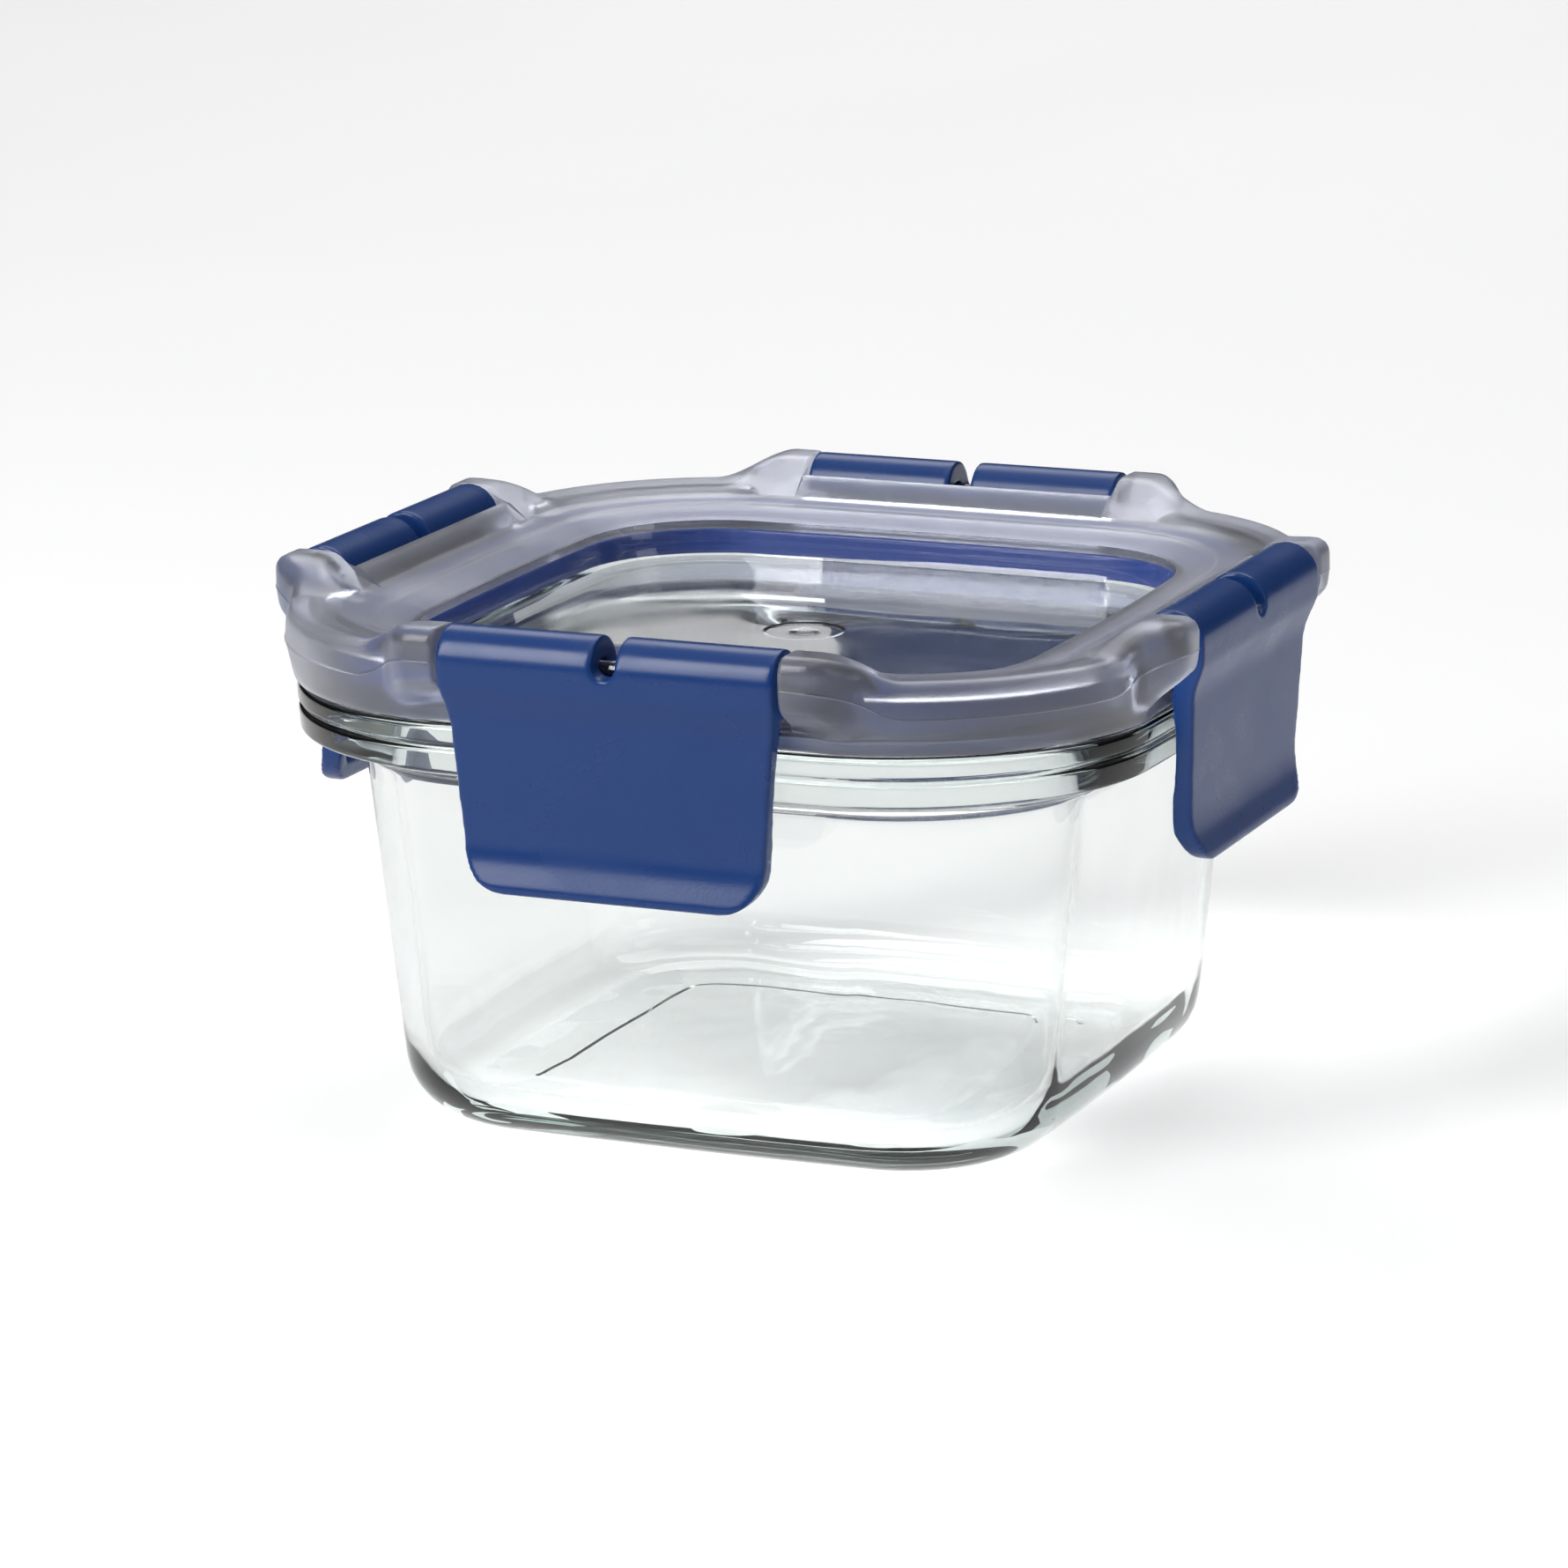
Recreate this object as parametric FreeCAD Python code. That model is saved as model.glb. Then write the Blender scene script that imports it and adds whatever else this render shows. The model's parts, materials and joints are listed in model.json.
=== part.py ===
import FreeCAD, Part
import math
import os

# Square glass food container with a snap-on lid.
# Sizes are in millimetres.  The origin is the centre of the underside, +Z is up
# and the front latch faces -Y.

# ---- overall sizes -------------------------------------------------------
RIM_HALF = 67.4        # middle of a side to the centre, at the lower rim edge
CORNER_R = 38.7        # plan radius of a corner at the same edge
SIDE_BOW_R = 690.0     # plan radius of the slightly bowed sides
BOWL_H = 70.6          # underside to the sealing face of the glass rim

# ---- glass bowl ----------------------------------------------------------
FLOOR_T = 5.0          # thickness of the glass floor
WALL_T = 3.1           # thickness of the glass wall
WALL_IN_TOP = 9.5      # wall outside, in from the rim edge, at the top
WALL_IN_BASE = 15.3    # the same, where the wall line meets the ground
BASE_EDGE_R = 16.5     # rounding between wall and underside
FLOOR_EDGE_R = 13.5    # rounding between wall and floor inside
CORE_IN = 32.0         # inner limit of everything that follows the plan line
FOOT_IN = 34.5         # start of the shallow hollow under the floor
FOOT_DEEP = 0.6        # depth of that hollow
BAND_H = 10.0          # sealing face down to the lower rim edge
BEAD_OUT = 0.4         # how far the upper bead stands out of the rim edge
SHOULDER_DROP = 3.0    # sealing face down to the shoulder under the skirt
NECK_IN = 1.9          # upper rim, in from the rim edge
FLARE_W = 3.4          # width of the sloping lead-in inside the mouth
FLARE_H = 5.5          # height of that lead-in

# ---- lid -----------------------------------------------------------------
LID_WALL = 1.8         # general wall of the lid
SKIRT_LIFT = 0.5       # gap between the skirt and the glass shoulder
SKIRT_OUT = 0.8        # skirt outside at its lower edge
PARTING_OUT = 2.0      # skirt outside at the parting line, its widest place
PARTING_UP = 3.1       # sealing face up to the parting line
SKIRT_IN = 1.5         # skirt inside, in from the rim edge
CROWN_UP = 8.4         # sealing face up to the crown of the ring
CREST_IN = 6.6         # inner end of the crown, in from the rim edge
SLOPE_IN = 9.4         # start of the slope inside the crown
SLOPE_END_IN = 15.4    # end of that slope
RING_IN = 18.3         # inner edge of the frosted ring, in from the rim edge
RING_IN_UP = 4.9       # sealing face up to that inner edge
WINDOW_DROP = 0.9      # sealing face down to the top of the window
PIN_OUT = 1.1          # hinge bar axis, out from the rim edge
GLASS_CLEAR = 0.9         # underside of the latch seats above the sealing face
BAR_R = 1.5            # radius of the hinge bar moulded into the lid
EAR_R = 4.8            # radius of the ears that carry the bar
EAR_FLAT = 4.2         # straight length of an ear beside the latch
EAR_LOBE = 7.0         # length over which the ear draws in to the skirt
EAR_TAIL = 12.0        # length over which it sweeps down into the ring
EAR_FOOT = -4.6        # underside of the ear from the bar axis
SKIRT_TURN_R = 9.0     # hollow that turns the skirt in under each ear
SEAT_GAP = 0.4         # knuckle to the wall and the floor of its seat
SEAT_FLOOR = 1.3       # thickness of the seat floor
SEAT_RIDGE = 2.4       # ridge behind the knuckle, up from the bar axis
RIDGE_W = 5.0          # width of that ridge with its slope
RIB_T = 1.5            # rib between the gasket channel and the relief
POCKET_IN = 0.5        # skirt wall behind the flap, in from the rim edge
GATE_R = 6.0           # round gate mark in the window
GATE_DEEP = 0.35       # its depth

# ---- gasket --------------------------------------------------------------
GASKET_IN = 6.0        # outer side of the gasket, in from the rim edge
GASKET_GAP = 0.3       # clearance round the gasket in its channel
CHANNEL_DROP = 2.6     # crown down to the roof of the channel
BEND_IN = 9.8          # where the roof bends down, in from the rim edge
BEND_DROP = 1.1        # how far it has dropped there
RING_T = 1.7           # thickness of the ring at its inner edge
WELL_T = 1.5           # thickness of the wall round the window
LIP_GAP = 0.3          # gasket lips above the glass while it is not pressed

# ---- latches -------------------------------------------------------------
LATCH_W = 52.4         # width over the knuckle
LATCH_DROP = 33.7      # hinge axis down to the end of the flap
KNUCKLE_R = 5.0        # outside radius of the knuckle
BORE_PLAY = 0.08       # radial running clearance on the hinge bar
SIDE_PLAY = 0.4        # latch end to ear
FLAP_OUT_HIGH = 3.1    # outer face of the flap from the bar axis, under the knuckle
FLAP_OUT_LOW = 2.2     # the same, above the lip
LIP_FLARE = 2.2        # how far the lip turns out at the end of the flap
LIP_T = 3.4            # height of the solid lip
WAIST_IN = 1.2         # sides drawn in under the knuckle
TAPER_IN = 3.2         # sides drawn in at the end of the flap
FLAP_T = 1.6           # thickness of the flap
FLANGE_IN = -0.8       # inner edge of the side flanges from the bar axis
FLANGE_T = 1.9         # thickness of the side flanges
NOTCH_W = 3.7          # notch in the middle of the knuckle
NOTCH_LOW = 0.5        # bottom of the notch, below the bar axis
SNAP_SLOT = 2.5        # slot the bar is snapped through
HOOK_PLAY = 0.25       # hook tip clear of the bead while the latch hangs free
HOOK_W = 42.0          # length of the hook rib
HOOK_T = 1.7           # height of the hook rib at its tip
HOOK_UNDER = 0.8       # hook below the lower rim edge

# ---- levels and positions that follow ------------------------------------
CORE_HALF = RIM_HALF - CORE_IN
BAND_Z = BOWL_H - BAND_H
SHOULDER_Z = BOWL_H - SHOULDER_DROP
SKIRT_Z = SHOULDER_Z + SKIRT_LIFT
PARTING_Z = BOWL_H + PARTING_UP
CROWN_Z = BOWL_H + CROWN_UP
RING_IN_Z = BOWL_H + RING_IN_UP
WINDOW_Z = BOWL_H - WINDOW_DROP
PIN_Y = RIM_HALF + PIN_OUT
PIN_Z = BOWL_H + GLASS_CLEAR + SEAT_FLOOR + SEAT_GAP + KNUCKLE_R
LATCH_HALF = LATCH_W / 2
EAR_X = LATCH_HALF + SIDE_PLAY
SEAT_Y = PIN_Y - KNUCKLE_R - SEAT_GAP
SEAT_Z = PIN_Z - KNUCKLE_R - SEAT_GAP
UNDER_Z = SEAT_Z - SEAT_FLOOR
POCKET_Y = RIM_HALF - POCKET_IN
CHANNEL_OUT = GASKET_IN - GASKET_GAP
CHANNEL_Z = CROWN_Z - CHANNEL_DROP
UP = FreeCAD.Vector(0, 0, 1)


def plan_arcs():
    """Centre, radius, start angle and sweep of the eight arcs of the plan line."""
    bow_centre = RIM_HALF - SIDE_BOW_R
    gap = SIDE_BOW_R - CORNER_R
    root = math.sqrt(bow_centre ** 2 - 2 * (bow_centre ** 2 - gap ** 2))
    corner = (bow_centre + root) / 2
    half = math.degrees(math.atan2(corner, corner - bow_centre))
    arcs = []
    for turn in (0, 90, 180, 270):
        cos_t = round(math.cos(math.radians(turn)), 12)
        sin_t = round(math.sin(math.radians(turn)), 12)
        side = FreeCAD.Vector(bow_centre * cos_t, bow_centre * sin_t, 0)
        arcs.append((side, SIDE_BOW_R, turn - half, 2 * half))
        spot = FreeCAD.Vector(corner * (cos_t - sin_t), corner * (sin_t + cos_t), 0)
        arcs.append((spot, CORNER_R, turn + half, 90 - 2 * half))
    return arcs


def rounded_wire(corners, place):
    """Closed wire through corners (a, b, radius); place maps (a, b) to space."""
    count = len(corners)
    ends = []
    for i in range(count):
        a, b, r = corners[i]
        here = FreeCAD.Vector(a, b, 0)
        back = FreeCAD.Vector(corners[i - 1][0], corners[i - 1][1], 0) - here
        ahead = corners[(i + 1) % count]
        ahead = FreeCAD.Vector(ahead[0], ahead[1], 0) - here
        back.normalize()
        ahead.normalize()
        if r == 0:
            ends.append((here, None, here))
            continue
        half = back.getAngle(ahead) / 2
        middle = back + ahead
        middle.normalize()
        centre = here + middle * (r / math.sin(half))
        reach = r / math.tan(half)
        ends.append((here + back * reach, centre - middle * r, here + ahead * reach))
    edges = []
    for i in range(count):
        start, mid, end = ends[i]
        if mid is not None:
            arc = Part.Arc(place(start.x, start.y), place(mid.x, mid.y), place(end.x, end.y))
            edges.append(arc.toShape())
        after = ends[(i + 1) % count][0]
        if (after - end).Length > 1e-6:
            edges.append(Part.makeLine(place(end.x, end.y), place(after.x, after.y)))
    return Part.Wire(edges)


def follow_plan(corners):
    """Solid ring whose section (out from the rim edge, height) follows the plan."""
    pieces = []
    for centre, radius, start, sweep in plan_arcs():
        cos_s = math.cos(math.radians(start))
        sin_s = math.sin(math.radians(start))

        def place(out, z):
            reach = radius + out
            return FreeCAD.Vector(centre.x + reach * cos_s, centre.y + reach * sin_s, z)

        face = Part.Face(rounded_wire(corners, place))
        pieces.append(face.revolve(centre, UP, sweep))
    return pieces[0].fuse(pieces[1:])


def plan_slab(inset, low, high):
    """Flat slab with the plan outline moved inwards by inset."""
    edges = []
    for centre, radius, start, sweep in plan_arcs():
        spots = []
        for angle in (start, start + sweep / 2, start + sweep):
            cos_a = math.cos(math.radians(angle))
            sin_a = math.sin(math.radians(angle))
            reach = radius - inset
            spots.append(FreeCAD.Vector(centre.x + reach * cos_a, centre.y + reach * sin_a, low))
        edges.append(Part.Arc(*spots).toShape())
    outline = Part.Wire(edges)
    return Part.Face(outline).extrude(FreeCAD.Vector(0, 0, high - low))


def box(x0, x1, y0, y1, z0, z1):
    """Plain box between two corners."""
    return Part.makeBox(x1 - x0, y1 - y0, z1 - z0, FreeCAD.Vector(x0, y0, z0))


def side_prism(corners, x0, x1):
    """Prism along X; corners are (outward from the bar axis, up from it, radius)."""
    def place(out, up):
        return FreeCAD.Vector(x0, -PIN_Y - out, PIN_Z + up)
    return Part.Face(rounded_wire(corners, place)).extrude(FreeCAD.Vector(x1 - x0, 0, 0))


def one_solid(shape):
    """Merge split faces and keep the single solid inside."""
    clean = shape.removeSplitter()
    solids = clean.Solids
    if len(solids) != 1:
        raise ValueError("expected one solid, found %d" % len(solids))
    return solids[0]


def make_bowl():
    """Pressed glass bowl: thick rounded base, plain walls and a beaded rim."""
    wall_top = -WALL_IN_TOP
    wall_base = -WALL_IN_BASE
    lean = (WALL_IN_BASE - WALL_IN_TOP) / (BAND_Z - 3.6)
    inner_top = wall_top - WALL_T
    flare_z = BOWL_H - FLARE_H
    floor_out = inner_top - lean * (flare_z - FLOOR_T)
    section = [
        (-CORE_IN, 0, 0),
        (wall_base, 0, BASE_EDGE_R),
        (wall_top, BAND_Z - 3.6, 2.0),
        (0.1, BAND_Z - 0.2, 0.8),
        (0.3, BAND_Z + 3.0, 0.7),
        (-0.5, BAND_Z + 3.6, 0.5),
        (BEAD_OUT, BAND_Z + 4.3, 0.7),
        (BEAD_OUT, SHOULDER_Z, 1.0),
        (-NECK_IN, SHOULDER_Z, 0.4),
        (-NECK_IN, BOWL_H, 1.0),
        (inner_top + FLARE_W, BOWL_H, 1.2),
        (inner_top, flare_z, 4.0),
        (floor_out, FLOOR_T, FLOOR_EDGE_R),
        (-CORE_IN, FLOOR_T, 0),
    ]
    ring = follow_plan(section)
    floor = plan_slab(CORE_IN, 0, FLOOR_T)
    hollow = plan_slab(FOOT_IN, -1, FOOT_DEEP)
    return one_solid(ring.fuse(floor).cut(hollow))


def skirt_line(x):
    """Outer face of the skirt at x, outward from the bar axis."""
    side, side_r = plan_arcs()[6][:2]
    spot, corner_r = plan_arcs()[7][:2]
    if x < spot.x:
        reach = side_r + PARTING_OUT
        return math.sqrt(reach ** 2 - x ** 2) - side.y - PIN_Y
    reach = corner_r + PARTING_OUT
    return math.sqrt(reach ** 2 - (x - spot.x) ** 2) - spot.y - PIN_Y


def ease(part):
    """Smooth step from 0 to 1."""
    part = min(max(part, 0.0), 1.0)
    return part * part * (3 - 2 * part)


def ear_section(x, r, inward, downward):
    """Closed ear outline at x; the shares move its points into the ring."""
    crown = CROWN_Z - PIN_Z
    core_up = crown - 5.0
    core_out = skirt_line(x) - 5.3
    hug = 4.6

    def point(lobe, ring):
        out = lobe[0] + (ring[0] - lobe[0]) * inward
        up = lobe[1] + (ring[1] - lobe[1]) * downward
        return FreeCAD.Vector(x, -PIN_Y - out, PIN_Z + up)

    def round_point(lobe_angle, ring_angle):
        lobe = math.radians(lobe_angle)
        ring = math.radians(ring_angle)
        return point((r * math.cos(lobe), r * math.sin(lobe)),
                     (core_out + hug * math.cos(ring), core_up + hug * math.sin(ring)))

    foot_in = point((-3.2, EAR_FOOT), (core_out + 3.2, core_up + 0.3))
    foot_out = point((1.2, EAR_FOOT), (core_out + 4.4, core_up + 0.3))
    low = round_point(-45, 8)
    top_in = round_point(125, 90)
    cove = point((-5.7, 1.4), (core_out - 1.5, crown - 0.6))
    root = point((-8.2, crown - 1.3), (core_out - 3.0, crown - 1.2))
    edges = [
        Part.makeLine(foot_in, foot_out),
        Part.makeLine(foot_out, low),
        Part.Arc(low, round_point(40, 48), top_in).toShape(),
        Part.Arc(top_in, cove, root).toShape(),
        Part.makeLine(root, foot_in),
    ]
    return Part.Wire(edges)


def make_ear():
    """Ear at the +X end of the front latch, sweeping down into the ring."""
    first = ear_section(EAR_X, EAR_R - 0.5, 0, 0)
    second = ear_section(EAR_X + 0.6, EAR_R, 0, 0)
    third = ear_section(EAR_X + EAR_FLAT, EAR_R, 0, 0)
    ear = Part.makeLoft([first, second, third], True, True)
    steps = 6
    sections = []
    for i in range(steps + 1):
        run = EAR_TAIL * i / steps
        x = EAR_X + EAR_FLAT + run
        sections.append(ear_section(x, EAR_R, ease(run / EAR_LOBE), ease(run / EAR_TAIL)))
    tail = Part.makeLoft(sections, True, False)
    return ear.fuse(tail)


def four_turns(shape):
    """The shape and its copies at the other three sides."""
    copies = []
    for turn in (0, 90, 180, 270):
        copy = shape.copy()
        copy.rotate(FreeCAD.Vector(0, 0, 0), UP, turn)
        copies.append(copy)
    return copies


def make_lid():
    """One clear moulding: ring, skirt, sunk window, ears and hinge bars."""
    wall_in = RING_IN - WELL_T
    section = [
        (-SKIRT_IN, SKIRT_Z, 0.3),
        (SKIRT_OUT, SKIRT_Z, 0.5),
        (PARTING_OUT, PARTING_Z, 0.5),
        (PARTING_OUT - 0.4, CROWN_Z, 5.0),
        (-CREST_IN, CROWN_Z - 0.5, 5.0),
        (-SLOPE_IN, CROWN_Z - 1.6, 2.5),
        (-SLOPE_END_IN, RING_IN_Z + 0.5, 3.0),
        (-RING_IN, RING_IN_Z, 0.5),
        (-RING_IN - 0.7, WINDOW_Z, 1.0),
        (-CORE_IN, WINDOW_Z, 0),
        (-CORE_IN, WINDOW_Z - LID_WALL, 0),
        (-wall_in - 0.7, WINDOW_Z - LID_WALL, 0.8),
        (-wall_in, RING_IN_Z - RING_T, 0.4),
        (-BEND_IN, CHANNEL_Z - BEND_DROP, 1.0),
        (-CHANNEL_OUT, CHANNEL_Z, 0.5),
        (-CHANNEL_OUT, UNDER_Z, 0.4),
        (-SKIRT_IN, UNDER_Z, 0.4),
    ]
    ring = follow_plan(section)
    window = plan_slab(CORE_IN, WINDOW_Z - LID_WALL, WINDOW_Z)
    seat = box(-EAR_X, EAR_X, -PIN_Y - 20, -SEAT_Y, SEAT_Z, PIN_Z + 20)
    pocket = box(-EAR_X, EAR_X, -PIN_Y - 20, -POCKET_Y, SKIRT_Z - 5, PIN_Z + 20)
    body = ring.fuse(window)
    body = body.cut(four_turns(seat) + four_turns(pocket))
    for end in (-EAR_X - 0.5, EAR_X + 0.5):
        low = FreeCAD.Vector(end, -POCKET_Y - SKIRT_TURN_R, SKIRT_Z - 5)
        turn_in = Part.makeCylinder(SKIRT_TURN_R, PIN_Z + EAR_FOOT - low.z, low)
        body = body.cut(four_turns(turn_in))
    ear = make_ear()
    other = ear.mirror(FreeCAD.Vector(0, 0, 0), FreeCAD.Vector(1, 0, 0))
    bar = Part.makeCylinder(BAR_R, 2 * EAR_X + 2, FreeCAD.Vector(-EAR_X - 1, -PIN_Y, PIN_Z),
                            FreeCAD.Vector(1, 0, 0))
    wall = -KNUCKLE_R - SEAT_GAP
    ridge_in = wall - RIDGE_W
    ridge = side_prism([(wall, -1.2, 0), (wall, SEAT_RIDGE, 0.3), (wall - 1.3, SEAT_RIDGE - 0.2, 0.6),
                        (ridge_in, -0.5, 0), (ridge_in, -1.4, 0)], -EAR_X - 1.5, EAR_X + 1.5)
    hinge = ear.fuse([other, bar, ridge])
    body = body.fuse(four_turns(hinge))
    relief = follow_plan([(RIB_T - CHANNEL_OUT, UNDER_Z - 1, 0), (0.1 - SKIRT_IN, UNDER_Z - 1, 0),
                          (0.3 - SKIRT_IN, CHANNEL_Z - 0.4, 1.0),
                          (RIB_T + 0.2 - CHANNEL_OUT, CHANNEL_Z, 1.0)])
    solid_x = EAR_X + EAR_FLAT + EAR_LOBE / 2
    keep = box(-solid_x, solid_x, -PIN_Y - 20, 0, 0, PIN_Z + 20)
    body = body.cut(relief.cut(four_turns(keep)))
    gate = Part.makeCone(GATE_R, GATE_R + 0.6, GATE_DEEP, FreeCAD.Vector(0, 0, WINDOW_Z - GATE_DEEP))
    nub = Part.makeCone(1.6, 1.2, GATE_DEEP, FreeCAD.Vector(0, 0, WINDOW_Z - GATE_DEEP))
    return one_solid(body.cut(gate).fuse(nub))


def make_gasket():
    """Soft ring in the lid channel with two lips over the glass."""
    lip_z = BOWL_H + LIP_GAP
    out = -GASKET_IN
    inner = -RING_IN + WELL_T + GASKET_GAP
    top = CHANNEL_Z - GASKET_GAP
    section = [
        (out, lip_z, 0.3),
        (out, top, 0.6),
        (-BEND_IN, top - BEND_DROP, 0.8),
        (inner, RING_IN_Z - RING_T - GASKET_GAP, 0.4),
        (inner - 0.15, WINDOW_Z - 0.2, 0.4),
        (inner + 1.2, WINDOW_Z - 0.2, 0.4),
        (inner + 1.5, BOWL_H + 1.9, 0.5),
        (-10.8, BOWL_H + 2.1, 0.5),
        (-9.0, lip_z, 0.3),
        (-8.1, lip_z, 0.3),
        (-7.8, BOWL_H + 1.7, 0.3),
        (-7.2, BOWL_H + 1.7, 0.3),
        (-6.9, lip_z, 0.3),
    ]
    return one_solid(follow_plan(section))


def make_latch():
    """Snap latch: split knuckle, curved flap, side flanges and hook rib."""
    blade = [
        (0, 0, 0),
        (KNUCKLE_R, 0, 0),
        (KNUCKLE_R - 0.05, -3.0, 4.0),
        (FLAP_OUT_HIGH, -7.6, 9.0),
        (FLAP_OUT_LOW, -27.5, 12.0),
        (FLAP_OUT_LOW + LIP_FLARE, -LATCH_DROP, 0.8),
        (1.2, -LATCH_DROP, 1.2),
        (FLANGE_IN, 5.0 - LATCH_DROP, 3.0),
        (FLANGE_IN, 9.0 - LATCH_DROP, 4.0),
        (-0.2, -20.0, 5.0),
        (0.05, -15.0, 5.0),
        (-0.4, -8.0, 3.0),
        (1.0, -4.0, 0),
    ]
    solid = side_prism(blade, -LATCH_HALF, LATCH_HALF)
    low = PIN_Z - LATCH_DROP
    half = LATCH_HALF
    outline = [
        (half, PIN_Z + 9, 0),
        (half, PIN_Z - 3.0, 6.0),
        (half - WAIST_IN, PIN_Z - 9.5, 12.0),
        (half - TAPER_IN, low, 7.0),
        (TAPER_IN - half, low, 7.0),
        (WAIST_IN - half, PIN_Z - 9.5, 12.0),
        (-half, PIN_Z - 3.0, 6.0),
        (-half, PIN_Z + 9, 0),
    ]

    def front(x, z):
        return FreeCAD.Vector(x, -PIN_Y - 20, z)

    sheet = Part.Face(rounded_wire(outline, front)).extrude(FreeCAD.Vector(0, 40, 0))
    solid = solid.common(sheet)
    knuckle = Part.makeCylinder(KNUCKLE_R, LATCH_W, FreeCAD.Vector(-half, -PIN_Y, PIN_Z),
                                FreeCAD.Vector(1, 0, 0))
    solid = one_solid(solid.fuse(knuckle))
    inside = [
        (-6, -7.4, 0),
        (1.2, -7.4, 0.8),
        (FLAP_OUT_HIGH - FLAP_T, -8.6, 1.0),
        (FLAP_OUT_LOW - FLAP_T, -26.0, 14.0),
        (FLAP_OUT_LOW + LIP_FLARE * 0.45 - FLAP_T, LIP_T - LATCH_DROP, 1.5),
        (-6, LIP_T - LATCH_DROP, 0),
    ]
    bay = half - FLANGE_T
    cavity = side_prism(inside, -bay, bay)
    trim = [
        (bay, PIN_Z + 9, 0),
        (bay, PIN_Z - 3.0, 6.0),
        (bay - WAIST_IN, PIN_Z - 9.5, 12.0),
        (bay - TAPER_IN, low + 2.0, 6.0),
        (TAPER_IN - bay, low + 2.0, 6.0),
        (WAIST_IN - bay, PIN_Z - 9.5, 12.0),
        (-bay, PIN_Z - 3.0, 6.0),
        (-bay, PIN_Z + 9, 0),
    ]
    cavity = cavity.common(Part.Face(rounded_wire(trim, front)).extrude(FreeCAD.Vector(0, 40, 0)))
    solid = solid.cut(cavity)
    tip = -PIN_OUT + BEAD_OUT + HOOK_PLAY
    hook_top = BAND_Z - HOOK_UNDER - PIN_Z
    hook = side_prism([(1.6, hook_top - 0.1, 0), (tip, hook_top, 0.4),
                       (tip, hook_top - HOOK_T, 0.5), (0.8, hook_top - HOOK_T - 1.6, 0.6),
                       (1.6, hook_top - HOOK_T - 1.9, 0)], -HOOK_W / 2, HOOK_W / 2)
    bore = Part.makeCylinder(BAR_R + BORE_PLAY, LATCH_W + 2,
                             FreeCAD.Vector(-half - 1, -PIN_Y, PIN_Z), FreeCAD.Vector(1, 0, 0))
    slot = side_prism([(0, SNAP_SLOT / 2, 0), (0, -SNAP_SLOT / 2, 0),
                       (-9, -SNAP_SLOT / 2, 0), (-9, SNAP_SLOT / 2, 0)], -half - 1, half + 1)
    slot.rotate(FreeCAD.Vector(0, -PIN_Y, PIN_Z), FreeCAD.Vector(1, 0, 0), -40)
    nick_z = PIN_Z + NOTCH_W / 2 - NOTCH_LOW
    nick = box(-NOTCH_W / 2, NOTCH_W / 2, -PIN_Y - 9, -PIN_Y + 9, nick_z, PIN_Z + 9)
    nick_end = Part.makeCylinder(NOTCH_W / 2, 18, FreeCAD.Vector(0, -PIN_Y - 9, nick_z),
                                 FreeCAD.Vector(0, 1, 0))
    solid = solid.fuse(hook).cut([bore, slot, nick, nick_end])
    return one_solid(solid)


def save(name, shape):
    """Write one piece to its own file."""
    shape.exportStep(os.path.join("parts", name + ".step"))
    print(name, "volume cm3", round(shape.Volume / 1000, 2), "valid", shape.isValid(),
          "faces", len(shape.Faces))


os.makedirs("parts", exist_ok=True)
save("glass_bowl", make_bowl())
save("lid", make_lid())
save("gasket", make_gasket())
SIDES = ("front", "right", "back", "left")
for side_name, latch in zip(SIDES, four_turns(make_latch())):
    save("latch_" + side_name, latch)
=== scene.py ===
# %% [markdown]
# # A square glass food container with a snap-on lid
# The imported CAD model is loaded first.  It holds the real sizes and the
# moving bodies, so each piece below is made in its real place and only told
# which body it rides on.
import json
import math

import bmesh
import bpy
from mathutils import Matrix, Vector

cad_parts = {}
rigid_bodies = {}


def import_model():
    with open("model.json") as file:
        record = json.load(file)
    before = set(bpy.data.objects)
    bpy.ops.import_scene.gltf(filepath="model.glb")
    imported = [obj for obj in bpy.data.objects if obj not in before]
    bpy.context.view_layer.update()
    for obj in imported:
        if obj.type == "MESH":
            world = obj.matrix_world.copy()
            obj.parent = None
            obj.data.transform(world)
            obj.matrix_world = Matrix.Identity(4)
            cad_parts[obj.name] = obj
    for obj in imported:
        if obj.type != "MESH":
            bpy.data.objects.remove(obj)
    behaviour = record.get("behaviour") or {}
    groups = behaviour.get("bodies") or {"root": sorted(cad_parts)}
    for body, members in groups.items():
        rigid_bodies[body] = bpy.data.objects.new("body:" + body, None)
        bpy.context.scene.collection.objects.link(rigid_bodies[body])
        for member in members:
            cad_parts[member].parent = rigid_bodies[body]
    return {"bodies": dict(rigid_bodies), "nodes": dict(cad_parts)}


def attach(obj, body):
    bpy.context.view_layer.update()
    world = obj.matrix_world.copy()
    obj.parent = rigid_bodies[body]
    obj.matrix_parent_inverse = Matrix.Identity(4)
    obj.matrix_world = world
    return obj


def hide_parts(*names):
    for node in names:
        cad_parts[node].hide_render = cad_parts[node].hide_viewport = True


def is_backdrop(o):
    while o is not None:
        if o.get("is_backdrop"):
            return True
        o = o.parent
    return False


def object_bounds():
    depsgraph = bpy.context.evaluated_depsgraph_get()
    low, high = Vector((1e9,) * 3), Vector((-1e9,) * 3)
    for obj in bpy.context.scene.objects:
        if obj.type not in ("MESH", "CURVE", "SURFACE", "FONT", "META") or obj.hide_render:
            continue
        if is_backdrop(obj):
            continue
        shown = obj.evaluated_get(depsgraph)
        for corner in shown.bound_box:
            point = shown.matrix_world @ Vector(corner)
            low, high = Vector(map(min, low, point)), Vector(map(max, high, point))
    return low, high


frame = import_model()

cad_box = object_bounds()
print("CAD box, metres:", [[round(v, 4) for v in corner] for corner in cad_box])

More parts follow.
